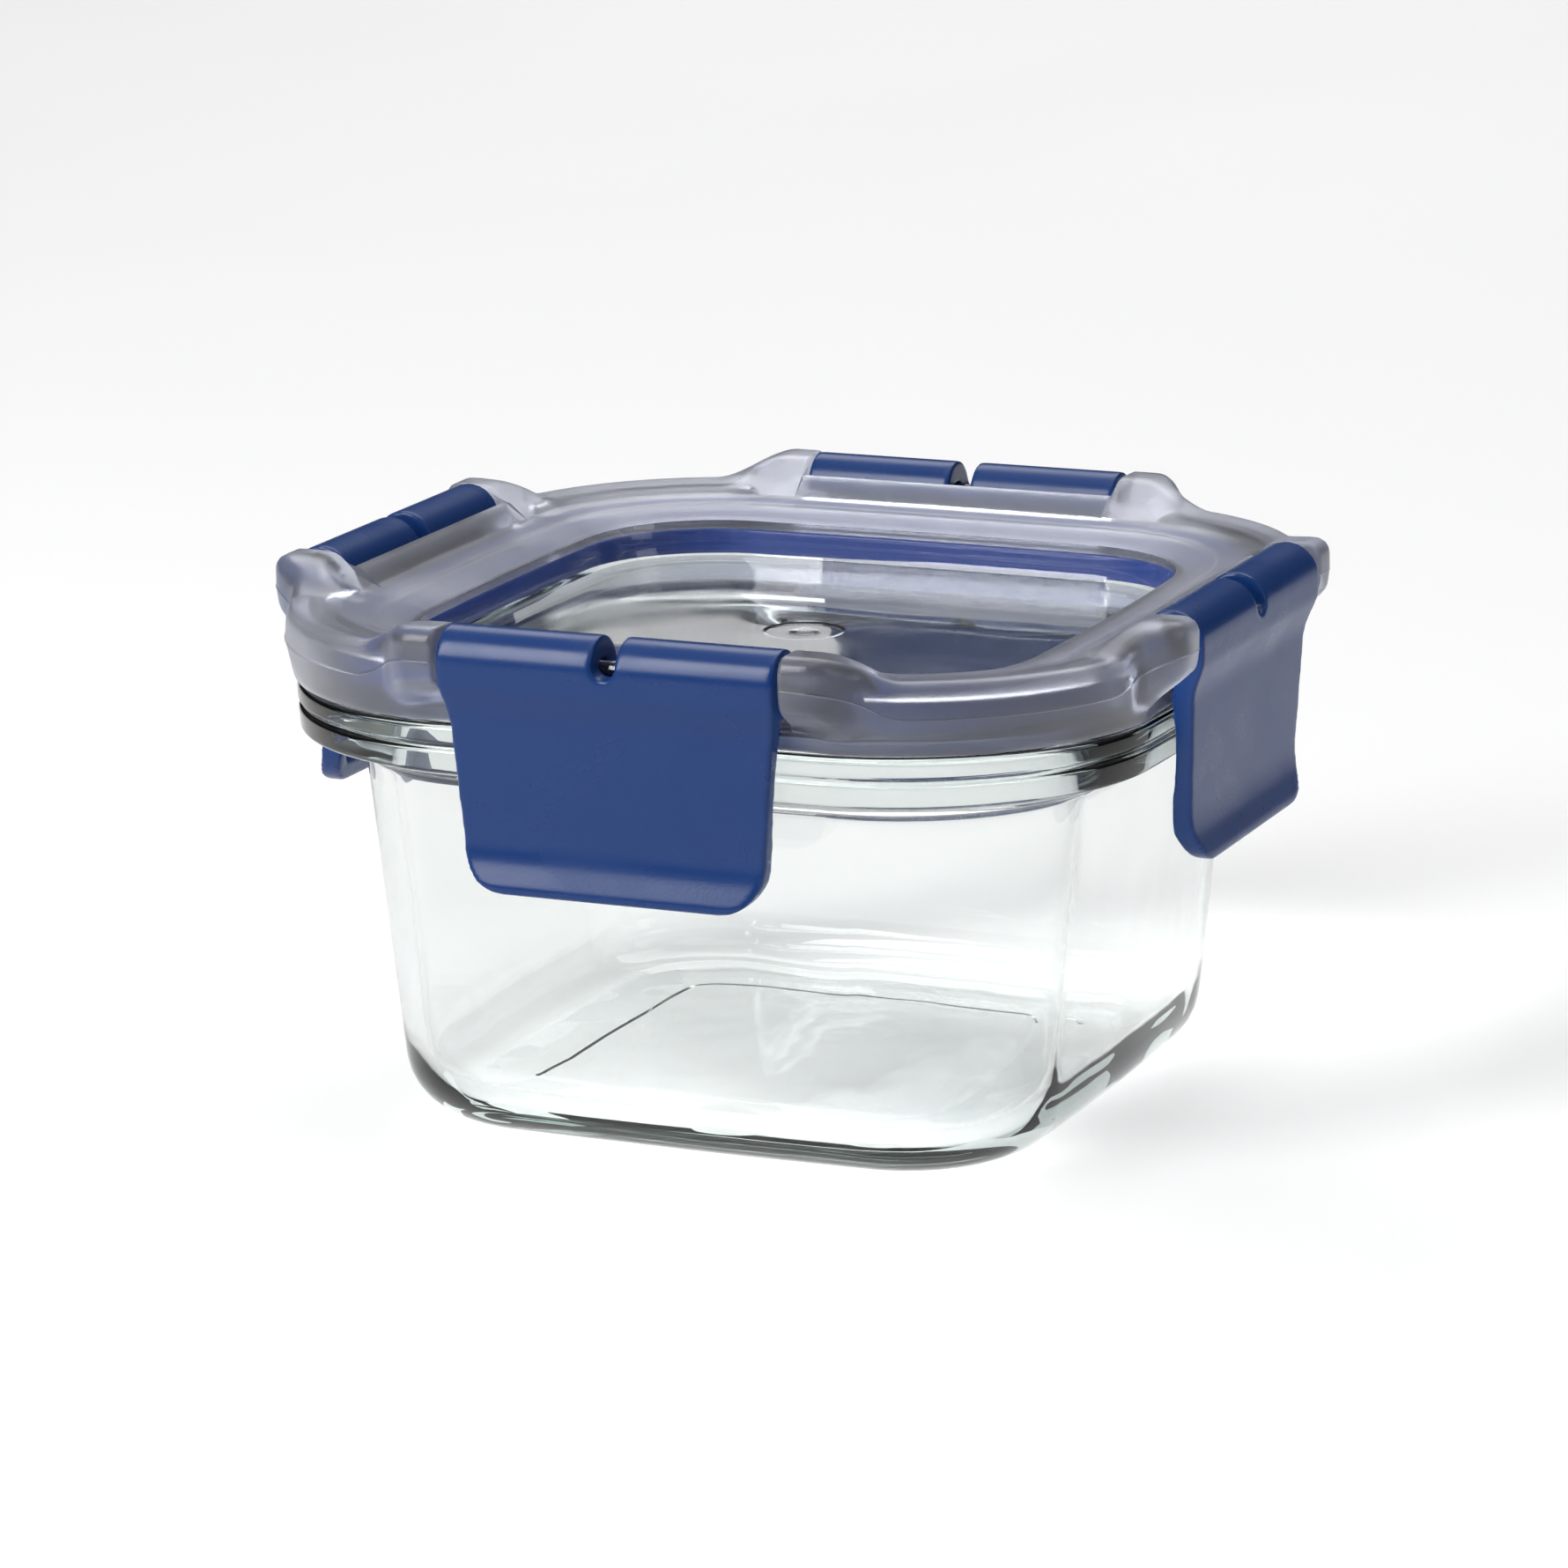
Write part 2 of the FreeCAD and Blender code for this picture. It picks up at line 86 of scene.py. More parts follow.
# %% [markdown]
# ## Camera
# A view from slightly above, through a long lens from about a metre away.  A
# long lens keeps the upright edges nearly parallel.  The camera is placed by
# heading, downward tilt and roll, the three settings of a tripod head.

# %% Camera
CAMERA_AT = Vector((0.37384, -0.877389, 0.28059))
HEADING = math.radians(23.28)
LOOK_DOWN = math.radians(13.833)
ROLL = math.radians(-0.776)
LENS_MM = 147.52


def add_camera():
    """Camera turned by heading, downward tilt and roll."""
    data = bpy.data.cameras.new("camera")
    data.lens = LENS_MM
    data.sensor_width = 36.0
    data.clip_start = 0.01
    camera = bpy.data.objects.new("camera", data)
    bpy.context.scene.collection.objects.link(camera)
    turn = (Matrix.Rotation(HEADING, 4, "Z")
            @ Matrix.Rotation(math.pi / 2 - LOOK_DOWN, 4, "X")
            @ Matrix.Rotation(ROLL, 4, "Z"))
    camera.matrix_world = Matrix.Translation(CAMERA_AT) @ turn
    bpy.context.scene.camera = camera
    return camera


camera = add_camera()
print("camera is", round(CAMERA_AT.length, 3), "m from the foot of the bowl")

# %% [markdown]
# ## The plan line
# Seen from above, the glass rim, the gasket and the lid all follow one line: a
# square with slightly bowed sides and large round corners.  It is made of
# eight arcs, four shallow ones of radius `BOW_R` and four corners of radius
# `CORNER_R`, and neighbours share a tangent where they meet.  With the line
# written down once, a ring is only a cross-section: "so far out from the rim
# edge, so high".  Lengths here are in millimetres, and `MM` turns them into
# metres when a mesh is made.

# %% Plan line in numbers
MM = 0.001
RIM_HALF = 67.4
BOW_R = 690.0
CORNER_R = 38.7
BOW_CENTRE = RIM_HALF - BOW_R
_gap = BOW_R - CORNER_R
CORNER_AT = (BOW_CENTRE + math.sqrt(2 * _gap ** 2 - BOW_CENTRE ** 2)) / 2
JOIN_ANGLE = math.atan2(CORNER_AT, CORNER_AT - BOW_CENTRE)
BOWL_H = 70.6
print("corner centre", round(CORNER_AT, 2), "mm")
print("arcs join at", round(math.degrees(JOIN_ANGLE), 2), "degrees")


def plan_point(run):
    """Point and outward direction on the front side, run mm along from its middle."""
    side_run = BOW_R * JOIN_ANGLE
    if run <= side_run:
        angle = run / BOW_R
        out = Vector((math.sin(angle), -math.cos(angle)))
        return Vector((0.0, -BOW_CENTRE)) + out * BOW_R, out
    angle = JOIN_ANGLE + (run - side_run) / CORNER_R
    out = Vector((math.sin(angle), -math.cos(angle)))
    return Vector((CORNER_AT, -CORNER_AT)) + out * CORNER_R, out


# %% [markdown]
# ## Rounded cross-sections
# A moulded part has no sharp corner, so a cross-section is drawn as a few
# corner points, each with a radius.  `rounded` replaces each corner with a
# short arc.  The arc is cut to fit where two corners are close together, so
# the same helper works for a thumb-sized lobe and for a 0.3 mm edge.

# %% Corner points to a smooth line
def rounded(corners, arc_steps=6):
    """Line through (a, b, radius) corners; returns, per corner, its own few points."""
    spots = [Vector(corner[:2]) for corner in corners]
    line = []
    for i, here in enumerate(spots):
        radius = corners[i][2]
        if radius == 0 or i in (0, len(spots) - 1):
            line.append([here])
            continue
        back = spots[i - 1] - here
        ahead = spots[i + 1] - here
        half = back.angle(ahead) / 2
        if half > math.radians(89):
            line.append([here])
            continue
        reach = min(radius / math.tan(half), 0.48 * back.length, 0.48 * ahead.length)
        radius = reach * math.tan(half)
        back.normalize()
        ahead.normalize()
        centre = here + (back + ahead).normalized() * (radius / math.sin(half))
        start = here + back * reach - centre
        end = here + ahead * reach - centre
        sweep = math.pi - 2 * half
        turn = 1 if start.x * end.y - start.y * end.x > 0 else -1
        points = []
        for k in range(arc_steps + 1):
            angle = turn * sweep * k / arc_steps
            points.append(centre + Vector((start.x * math.cos(angle) - start.y * math.sin(angle),
                                           start.x * math.sin(angle) + start.y * math.cos(angle))))
        line.append(points)
    return line


def even_line(corners, longest, arc_steps=6):
    """One list of points, with the long straight runs divided."""
    points = [p for group in rounded(corners, arc_steps) for p in group]
    line = [points[0]]
    for p in points[1:]:
        parts = max(1, math.ceil((p - line[-1]).length / longest))
        start = line[-1]
        line += [start.lerp(p, k / parts) for k in range(1, parts + 1)]
    return line


# %% [markdown]
# ## A ring that follows the plan line, in Geometry Nodes
# The bowl and the gasket are a main shape that follows a rule: one section
# taken round the plan line.  Curve to Mesh could sweep the section, but its
# rings would bunch up in the corners.  So the tree lays out a grid, one row of
# points for each station round the plan, and moves each grid point to its
# place with the formula of the eight arcs.  The section comes in as a string
# of points: X is how far out, Z is how high, and Y says how much of the plan
# shape is left, from 1 at the wall to 0 at the middle of the floor.

# %% Small helpers to wire a tree
class Wiring:
    """Short spelling for adding and joining Geometry or shader nodes."""

    def __init__(self, tree):
        self.tree = tree

    def add(self, kind, **settings):
        node = self.tree.nodes.new(kind)
        for name, value in settings.items():
            setattr(node, name, value)
        return node

    def put(self, socket, value):
        if isinstance(value, bpy.types.NodeSocket):
            self.tree.links.new(value, socket)
        else:
            socket.default_value = value

    def math(self, operation, *values):
        node = self.add("ShaderNodeMath", operation=operation)
        for socket, value in zip(node.inputs, values):
            self.put(socket, value)
        return node.outputs[0]

    def pick(self, test, low, high):
        """low where test is 0, high where it is 1."""
        step = self.math("SUBTRACT", high, low)
        return self.math("MULTIPLY_ADD", test, step, low)

    def node(self, kind, values, **settings):
        """Add a node and set or link its inputs by name."""
        node = self.add(kind, **settings)
        for name, value in values.items():
            self.put(node.inputs[name], value)
        return node


# %% The tree
# Points closer than this, in metres, are one point: in the tree, and in a mesh.
RING_WELD = 0.000004
MESH_WELD = 0.000002


def plan_ring_tree():
    """Geometry Nodes tree: section in, closed ring round the plan line out."""
    tree = bpy.data.node_groups.new("ring_round_plan", "GeometryNodeTree")
    face = tree.interface
    face.new_socket("Geometry", in_out="INPUT", socket_type="NodeSocketGeometry")
    for name in ("Half Width", "Bow Radius", "Corner Radius", "Ripple", "Ripple Size"):
        face.new_socket(name, in_out="INPUT", socket_type="NodeSocketFloat")
    for name in ("Side Steps", "Corner Steps"):
        face.new_socket(name, in_out="INPUT", socket_type="NodeSocketInt")
    face.new_socket("Material", in_out="INPUT", socket_type="NodeSocketMaterial")
    face.new_socket("Geometry", in_out="OUTPUT", socket_type="NodeSocketGeometry")
    w = Wiring(tree)
    given = w.add("NodeGroupInput").outputs
    # The two circle centres and the angle at which the arcs meet.
    bow_at = w.math("SUBTRACT", given["Half Width"], given["Bow Radius"])
    gap = w.math("SUBTRACT", given["Bow Radius"], given["Corner Radius"])
    gap_twice = w.math("MULTIPLY", w.math("MULTIPLY", gap, gap), 2.0)
    root = w.math("SQRT", w.math("SUBTRACT", gap_twice, w.math("MULTIPLY", bow_at, bow_at)))
    corner_at = w.math("MULTIPLY", w.math("ADD", bow_at, root), 0.5)
    join = w.math("ARCTAN2", corner_at, w.math("SUBTRACT", corner_at, bow_at))
    # A grid with one row for each station and one column for each section point.
    size = w.node("GeometryNodeAttributeDomainSize", {"Geometry": given["Geometry"]},
                  component="MESH")
    across = size.outputs["Point Count"]
    quarter_steps = w.math("ADD", given["Side Steps"], given["Corner Steps"])
    around = w.math("MULTIPLY_ADD", quarter_steps, 4.0, 1.0)
    grid = w.node("GeometryNodeMeshGrid", {"Vertices X": around, "Vertices Y": across})
    index = w.add("GeometryNodeInputIndex").outputs[0]
    station = w.math("FLOOR", w.math("DIVIDE", w.math("ADD", index, 0.5), across))
    column = w.math("SUBTRACT", index, w.math("MULTIPLY", station, across))
    section = w.add("GeometryNodeSampleIndex", data_type="FLOAT_VECTOR")
    w.put(section.inputs["Geometry"], given["Geometry"])
    w.put(section.inputs["Value"], w.add("GeometryNodeInputPosition").outputs[0])
    w.put(section.inputs["Index"], column)
    parts = w.node("ShaderNodeSeparateXYZ", {"Vector": section.outputs[0]})
    out, keep, height = parts.outputs
    # Which quarter, and where in it.
    quarter = w.math("FLOOR", w.math("DIVIDE", w.math("ADD", station, 0.5), quarter_steps))
    step = w.math("SUBTRACT", station, w.math("MULTIPLY", quarter, quarter_steps))
    past = w.math("SUBTRACT", step, given["Side Steps"])
    on_corner = w.math("GREATER_THAN", past, 0.5)
    side_share = w.math("DIVIDE", step, given["Side Steps"])
    side_angle = w.math("MULTIPLY", join, w.math("MULTIPLY_ADD", side_share, 2.0, -1.0))
    corner_sweep = w.math("MULTIPLY_ADD", join, -2.0, math.pi / 2)
    corner_share = w.math("DIVIDE", past, given["Corner Steps"])
    corner_angle = w.math("MULTIPLY_ADD", corner_sweep, corner_share, join)
    angle = w.pick(on_corner, side_angle, corner_angle)
    centre_x = w.pick(on_corner, bow_at, corner_at)
    centre_y = w.pick(on_corner, 0.0, corner_at)
    reach = w.math("ADD", w.pick(on_corner, given["Bow Radius"], given["Corner Radius"]), out)
    x = w.math("MULTIPLY", w.math("MULTIPLY_ADD", reach, w.math("COSINE", angle), centre_x), keep)
    y = w.math("MULTIPLY", w.math("MULTIPLY_ADD", reach, w.math("SINE", angle), centre_y), keep)
    place = w.node("ShaderNodeCombineXYZ", {"X": x, "Y": y, "Z": height})
    turn = w.add("ShaderNodeVectorRotate", rotation_type="Z_AXIS")
    w.put(turn.inputs["Vector"], place.outputs[0])
    w.put(turn.inputs["Angle"], w.math("MULTIPLY", quarter, math.pi / 2))
    moved = w.node("GeometryNodeSetPosition",
                   {"Geometry": grid.outputs["Mesh"], "Position": turn.outputs[0]})
    closed = w.node("GeometryNodeMergeByDistance",
                    {"Geometry": moved.outputs[0], "Distance": RING_WELD})
    # Pressed glass is never quite flat: a slow ripple, far below a millimetre.
    noise = w.node("ShaderNodeTexNoise", {"Scale": given["Ripple Size"], "Detail": 1.0},
                   noise_dimensions="3D")
    swing = w.math("SUBTRACT", noise.outputs[0], 0.5)
    normal = w.add("GeometryNodeInputNormal").outputs[0]
    shift = w.add("ShaderNodeVectorMath", operation="SCALE")
    w.put(shift.inputs[0], normal)
    w.put(shift.inputs["Scale"], w.math("MULTIPLY", swing, given["Ripple"]))
    rippled = w.node("GeometryNodeSetPosition",
                     {"Geometry": closed.outputs[0], "Offset": shift.outputs[0]})
    real = w.node("GeometryNodeRealizeInstances", {"Geometry": rippled.outputs[0]})
    painted = w.node("GeometryNodeSetMaterial",
                     {"Geometry": real.outputs[0], "Material": given["Material"]})
    w.put(w.add("NodeGroupOutput").inputs[0], painted.outputs[0])
    return tree


ring_tree = plan_ring_tree()
print("ring tree has", len(ring_tree.nodes), "nodes")


# %% From a section to a finished ring
def finish_mesh(mesh, sharp_degrees):
    """Faces outward, no doubles, smooth shading with crisp edges kept."""
    work = bmesh.new()
    work.from_mesh(mesh)
    bmesh.ops.remove_doubles(work, verts=work.verts, dist=MESH_WELD)
    bmesh.ops.dissolve_degenerate(work, edges=work.edges, dist=MESH_WELD)
    bmesh.ops.recalc_face_normals(work, faces=work.faces)
    if work.calc_volume(signed=True) < 0:
        bmesh.ops.reverse_faces(work, faces=work.faces)
    loose = sum(1 for edge in work.edges if len(edge.link_faces) != 2)
    work.to_mesh(mesh)
    work.free()
    mesh.shade_smooth()
    mesh.set_sharp_from_angle(angle=math.radians(sharp_degrees))
    print(mesh.name, len(mesh.polygons), "faces,", loose, "edges not shared by two")
    return mesh


def plan_ring(name, section, material, steps, ripple=(0.0, 1.0), sharp=40):
    """Mesh object of a section (out, height, share of the plan) taken round the plan."""
    string = bpy.data.meshes.new(name + "_section")
    points = [(out * MM, keep, up * MM) for out, up, keep in section]
    string.from_pydata(points, [(i, i + 1) for i in range(len(points) - 1)], [])
    holder = bpy.data.objects.new(name + "_section", string)
    bpy.context.scene.collection.objects.link(holder)
    modifier = holder.modifiers.new("ring", "NODES")
    modifier.node_group = ring_tree
    values = {"Half Width": RIM_HALF * MM, "Bow Radius": BOW_R * MM,
              "Corner Radius": CORNER_R * MM, "Side Steps": steps[0], "Corner Steps": steps[1],
              "Ripple": ripple[0], "Ripple Size": ripple[1], "Material": material}
    for item in ring_tree.interface.items_tree:
        if item.in_out == "INPUT" and item.name in values:
            modifier[item.identifier] = values[item.name]
    seen = holder.evaluated_get(bpy.context.evaluated_depsgraph_get())
    mesh = bpy.data.meshes.new_from_object(seen)
    bpy.data.objects.remove(holder)
    mesh.name = name
    if not mesh.materials:
        mesh.materials.append(material)
    finish_mesh(mesh, sharp)
    piece = bpy.data.objects.new(name, mesh)
    bpy.context.scene.collection.objects.link(piece)
    return piece

# %% [markdown]
# ## Finishes
# Each finish is a Principled shader with the small things that make the real
# material: mould texture, faint smears, slow waves, patches of tint and absorption in the
# thickness.
# Effects that several finishes share are node groups, which only give a
# colour, a value or a height.  The shader itself stays in the material.

# %% Shared effect: mould texture and smears
def effect_group(name, inputs, outputs):
    """Empty shader node group with named float inputs and outputs."""
    tree = bpy.data.node_groups.new(name, "ShaderNodeTree")
    for key, value in inputs.items():
        socket = tree.interface.new_socket(key, in_out="INPUT", socket_type="NodeSocketFloat")
        socket.default_value = value
    for key in outputs:
        tree.interface.new_socket(key, in_out="OUTPUT", socket_type="NodeSocketFloat")
    w = Wiring(tree)
    return tree, w, w.add("NodeGroupInput").outputs, w.add("NodeGroupOutput").inputs


def mould_grain_group():
    """Fine leathery texture of a spark-eroded mould, as a height from 0 to 1."""
    sizes = {"Size": 2600.0, "Unevenness": 0.35}
    tree, w, given, result = effect_group("mould_grain", sizes, ["Height"])
    place = w.add("ShaderNodeTexCoord").outputs["Object"]
    cells = w.node("ShaderNodeTexVoronoi", {"Vector": place, "Scale": given["Size"]},
                   feature="SMOOTH_F1")
    cells.inputs["Smoothness"].default_value = 0.6
    fine_size = w.math("MULTIPLY", given["Size"], 0.55)
    fine = w.node("ShaderNodeTexNoise",
                  {"Vector": place, "Scale": fine_size, "Detail": 3.0, "Roughness": 0.6})
    slow_size = w.math("MULTIPLY", given["Size"], 0.03)
    slow = w.node("ShaderNodeTexNoise", {"Vector": place, "Scale": slow_size})
    mixed = w.math("MULTIPLY_ADD", fine.outputs[0], given["Unevenness"], cells.outputs["Distance"])
    w.put(result["Height"], w.math("MULTIPLY_ADD", slow.outputs[0], 0.2, mixed))
    return tree


def smear_group():
    """Slow, soft patches, such as wiped surfaces show in a reflection."""
    sizes = {"Size": 30.0, "Low": 0.0, "High": 0.1}
    tree, w, given, result = effect_group("smears", sizes, ["Value"])
    place = w.add("ShaderNodeTexCoord").outputs["Object"]
    patch = w.node("ShaderNodeTexNoise", {"Vector": place, "Scale": given["Size"], "Detail": 4.0,
                                          "Roughness": 0.55, "Distortion": 0.8})
    spread = w.add("ShaderNodeMapRange", interpolation_type="SMOOTHSTEP")
    w.put(spread.inputs["Value"], patch.outputs[0])
    w.put(spread.inputs["From Min"], 0.35)
    w.put(spread.inputs["From Max"], 0.7)
    w.put(spread.inputs["To Min"], given["Low"])
    w.put(spread.inputs["To Max"], given["High"])
    w.put(result["Value"], spread.outputs[0])
    return tree


GRAIN = mould_grain_group()
SMEARS = smear_group()
print("shared effects:", GRAIN.name, SMEARS.name)


# %% A finish from its numbers
def finish(name, colour, fixed=None, smears=(30.0, 0.3, 0.4), grain=None, wave=None, tint=None,
           depth=None):
    """Principled material: smears give roughness, grain and wave relief, depth absorption."""
    material = bpy.data.materials.new(name)
    material.use_nodes = True
    w = Wiring(material.node_tree)
    shader = material.node_tree.nodes["Principled BSDF"]
    shader.inputs["Base Color"].default_value = (*colour, 1)
    for key, value in (fixed or {}).items():
        shader.inputs[key].default_value = value
    patch = w.add("ShaderNodeGroup", node_tree=SMEARS)
    for key, value in zip(("Size", "Low", "High"), smears):
        patch.inputs[key].default_value = value
    w.put(shader.inputs["Roughness"], patch.outputs["Value"])
    place = w.add("ShaderNodeTexCoord").outputs["Object"]
    if tint:
        cloud = w.node("ShaderNodeTexNoise", {"Vector": place, "Scale": tint[1], "Detail": 3.0})
        mix = w.add("ShaderNodeMix", data_type="RGBA")
        w.put(mix.inputs["Factor"], cloud.outputs[0])
        mix.inputs["A"].default_value = (*colour, 1)
        mix.inputs["B"].default_value = (*tint[0], 1)
        w.put(shader.inputs["Base Color"], mix.outputs["Result"])
    normal = None
    if wave:
        slow = w.node("ShaderNodeTexNoise", {"Vector": place, "Scale": wave[0], "Detail": 2.0})
        bump = w.node("ShaderNodeBump",
                      {"Height": slow.outputs[0], "Distance": wave[1], "Strength": 1.0})
        normal = bump.outputs[0]
    if grain:
        relief = w.add("ShaderNodeGroup", node_tree=GRAIN)
        relief.inputs["Size"].default_value = grain[0]
        bump = w.node("ShaderNodeBump",
                      {"Height": relief.outputs["Height"], "Distance": grain[1],
                       "Strength": grain[2]})
        if normal:
            w.put(bump.inputs["Normal"], normal)
        normal = bump.outputs[0]
    if normal:
        w.put(shader.inputs["Normal"], normal)
    if depth:
        inner = w.add("ShaderNodeVolumeAbsorption")
        inner.inputs["Color"].default_value = (*depth[0], 1)
        inner.inputs["Density"].default_value = depth[1]
        w.put(material.node_tree.nodes["Material Output"].inputs["Volume"], inner.outputs[0])
    return material


# smears: size, lowest and highest roughness.  wave: size, height in metres.
# grain: size, height in metres, strength.  tint: second colour, size.
# depth: colour that the thickness takes on, and how fast.
BOWL_GLASS = finish("bowl_glass", (1.0, 1.0, 1.0), {"Transmission Weight": 1.0, "IOR": 1.474},
                    smears=(22.0, 0.0, 0.02), wave=(38.0, 0.00012),
                    depth=((0.83, 0.865, 0.855), 110.0))
LID_DEPTH = ((0.80, 0.82, 0.88), 110.0)
CLEAR_PLASTIC = finish("clear_window", (0.97, 0.972, 0.98),
                       {"Transmission Weight": 1.0, "IOR": 1.5},
                       smears=(26.0, 0.01, 0.06), wave=(25.0, 0.00010), depth=LID_DEPTH)
FROSTED_PLASTIC = finish("frosted_ring", (0.70, 0.71, 0.76),
                         {"Transmission Weight": 0.92, "IOR": 1.5},
                         smears=(40.0, 0.28, 0.38), grain=(3200.0, 0.00003, 0.5), depth=LID_DEPTH)
NAVY_SILICONE = finish("navy_silicone", (0.012, 0.032, 0.150), {"IOR": 1.41},
                       smears=(60.0, 0.35, 0.5), tint=((0.016, 0.038, 0.17), 90.0),
                       grain=(1800.0, 0.00003, 0.3))
NAVY_PLASTIC = finish("navy_plastic", (0.006, 0.034, 0.150),
                      {"IOR": 1.49, "Specular IOR Level": 0.30},
                      smears=(50.0, 0.25, 0.33), tint=((0.007, 0.038, 0.162), 120.0),
                      grain=(2300.0, 0.00002, 0.3))
print("finishes:", [m.name for m in bpy.data.materials])

# %% [markdown]
# ## The glass bowl
# The real bowl is pressed in a mould from borosilicate glass: a thick floor, a
# thinner wall, and a rim with two beads and a narrower neck that the lid drops
# over.  Lathe-like tools are of no use on a square plan, so its section goes
# through the ring tree.  Both sides of the wall are modelled, since glass
# only bends light rightly when it has a real thickness.

# %% Bowl section and ring
FOOT_IN = 34.5
FOOT_HOLLOW = 0.3
HOLLOW_EDGE = -37.2
FLOOR_T = 5.0
FLOOR_EDGE = -32.0
BAND_Z = BOWL_H - 10.0
outside = even_line([
    (HOLLOW_EDGE, FOOT_HOLLOW, 0), (-FOOT_IN - 0.5, FOOT_HOLLOW, 0.3),
    (-FOOT_IN + 0.3, 0.0, 0.3), (-15.3, 0.0, 16.5),
    (-9.5, BAND_Z - 3.6, 2.0), (0.1, BAND_Z - 0.2, 0.8), (0.3, BAND_Z + 3.0, 0.7),
    (-0.5, BAND_Z + 3.6, 0.5), (0.4, BAND_Z + 4.3, 0.7), (0.4, BOWL_H - 3.0, 1.0),
    (-1.9, BOWL_H - 3.0, 0.4), (-1.9, BOWL_H, 1.0), (-9.2, BOWL_H, 1.2),
    (-12.6, BOWL_H - 5.5, 4.0), (-18.15, FLOOR_T, 13.5), (FLOOR_EDGE, FLOOR_T, 0)], 3.0, 7)
shrink = (0.0, 0.2, 0.4, 0.6, 0.8)
bowl_section = [(HOLLOW_EDGE, FOOT_HOLLOW, share) for share in shrink]
bowl_section += [(p.x, p.y, 1.0) for p in outside]
bowl_section += [(FLOOR_EDGE, FLOOR_T, share) for share in reversed(shrink)]
bowl = plan_ring("bowl_glass_body", bowl_section, BOWL_GLASS, (26, 40),
                 ripple=(0.00010, 45.0), sharp=60)
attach(bowl, "bowl")
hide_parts("glass_bowl")
# Clear glass throws hardly any shadow.
bowl.visible_shadow = False
print("bowl box", [round(v, 4) for v in bowl.dimensions])

# %% [markdown]
# ## The gasket
# The dark ring that shows through the lid is soft silicone.  It fills a
# channel on the underside of the lid and has two thin lips that press on the
# glass.  It follows the same plan line, so it is the same tree with another
# section; a closed section ends on the point where it began.

# %% Gasket section and ring
CROWN_UP = 8.4
CHANNEL_DROP = 2.6
GASKET_GAP = 0.3
CHANNEL_TOP = BOWL_H + CROWN_UP - CHANNEL_DROP - GASKET_GAP
LIP_Z = BOWL_H + GASKET_GAP
gasket_corners = [
    (-6.0, 73.0, 0), (-6.0, CHANNEL_TOP, 0.6), (-9.8, CHANNEL_TOP - 1.1, 0.8), (-16.5, 73.5, 0.4),
    (-16.65, 69.5, 0.4), (-15.3, 69.5, 0.4), (-15.0, BOWL_H + 1.9, 0.5), (-10.8, BOWL_H + 2.1, 0.5),
    (-9.0, LIP_Z, 0.3), (-8.1, LIP_Z, 0.3), (-7.8, BOWL_H + 1.7, 0.3), (-7.2, BOWL_H + 1.7, 0.3),
    (-6.9, LIP_Z, 0.3), (-6.0, LIP_Z, 0.3), (-6.0, 73.0, 0)]
gasket_section = [(p.x, p.y, 1.0) for p in even_line(gasket_corners, 1.5, 5)]
gasket = plan_ring("silicone_gasket", gasket_section, NAVY_SILICONE, (20, 36),
                   ripple=(0.00006, 160.0))
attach(gasket, "lid")
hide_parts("gasket")
print("gasket box", [round(v, 4) for v in gasket.dimensions])

# %% [markdown]
# ## The lid
# The lid is one clear moulding, frosted on the outside and polished in the
# middle.  Its section is not the same all the way round: in each corner it is
# a plain hollow ring, beside each latch it swells into an ear that holds the
# hinge bar, and behind the latch it is cut back to a seat.  Joining separate
# parts would leave seams inside clear plastic, where every one would show, so
# the lid is a single skin: the same section corners are listed for the three
# places, and each station round the plan uses a mixture of the lists.

# %% Hinge place, and where the ear begins and ends
PIN_Y = 68.5
PIN_Z = 78.2
EAR_X = 26.6
EAR_R = 4.8
EAR_FLAT = 4.2
EAR_LOBE = 7.0
EAR_TAIL = 12.0
SKIRT_TURN = 8.0
RELIEF_FROM = 7.7
RELIEF_RUN = 2.2
QUARTER_RUN = BOW_R * JOIN_ANGLE + CORNER_R * (math.pi / 4 - JOIN_ANGLE)
# The corner where the two halves of the mould met, and how far its line stands out.
PARTING = 10
PARTING_UP = 0.10
# Points crowd towards that line by this power.
CROWD = 1.6

# Corners of the section: (out from the rim edge, height, radius).
PLAIN = [
    (-32.0, 69.7, 0), (-19.0, 69.7, 1.0), (-18.3, 75.5, 0.5), (-15.4, 76.0, 2.0),
    (-12.2, 76.75, 0.5), (-11.9, 77.0, 0.5), (-9.4, 77.5, 2.5), (-6.6, 78.5, 4.0),
    (-2.6, 78.74, 0), (1.6, 79.0, 5.0),
    (2.0, 73.7, 0), (1.6, 71.8, 0), (1.2, 70.0, 0), (0.8, 68.1, 0.5), (-1.5, 68.1, 0.3),
    (-1.2, 76.0, 1.0), (-4.0, 76.4, 1.0), (-4.2, 71.5, 0.3), (-5.7, 71.5, 0.4), (-5.7, 76.4, 0.5),
    (-9.8, 75.3, 1.0), (-16.8, 73.8, 0.4), (-17.5, 67.9, 0.8), (-32.0, 67.9, 0)]
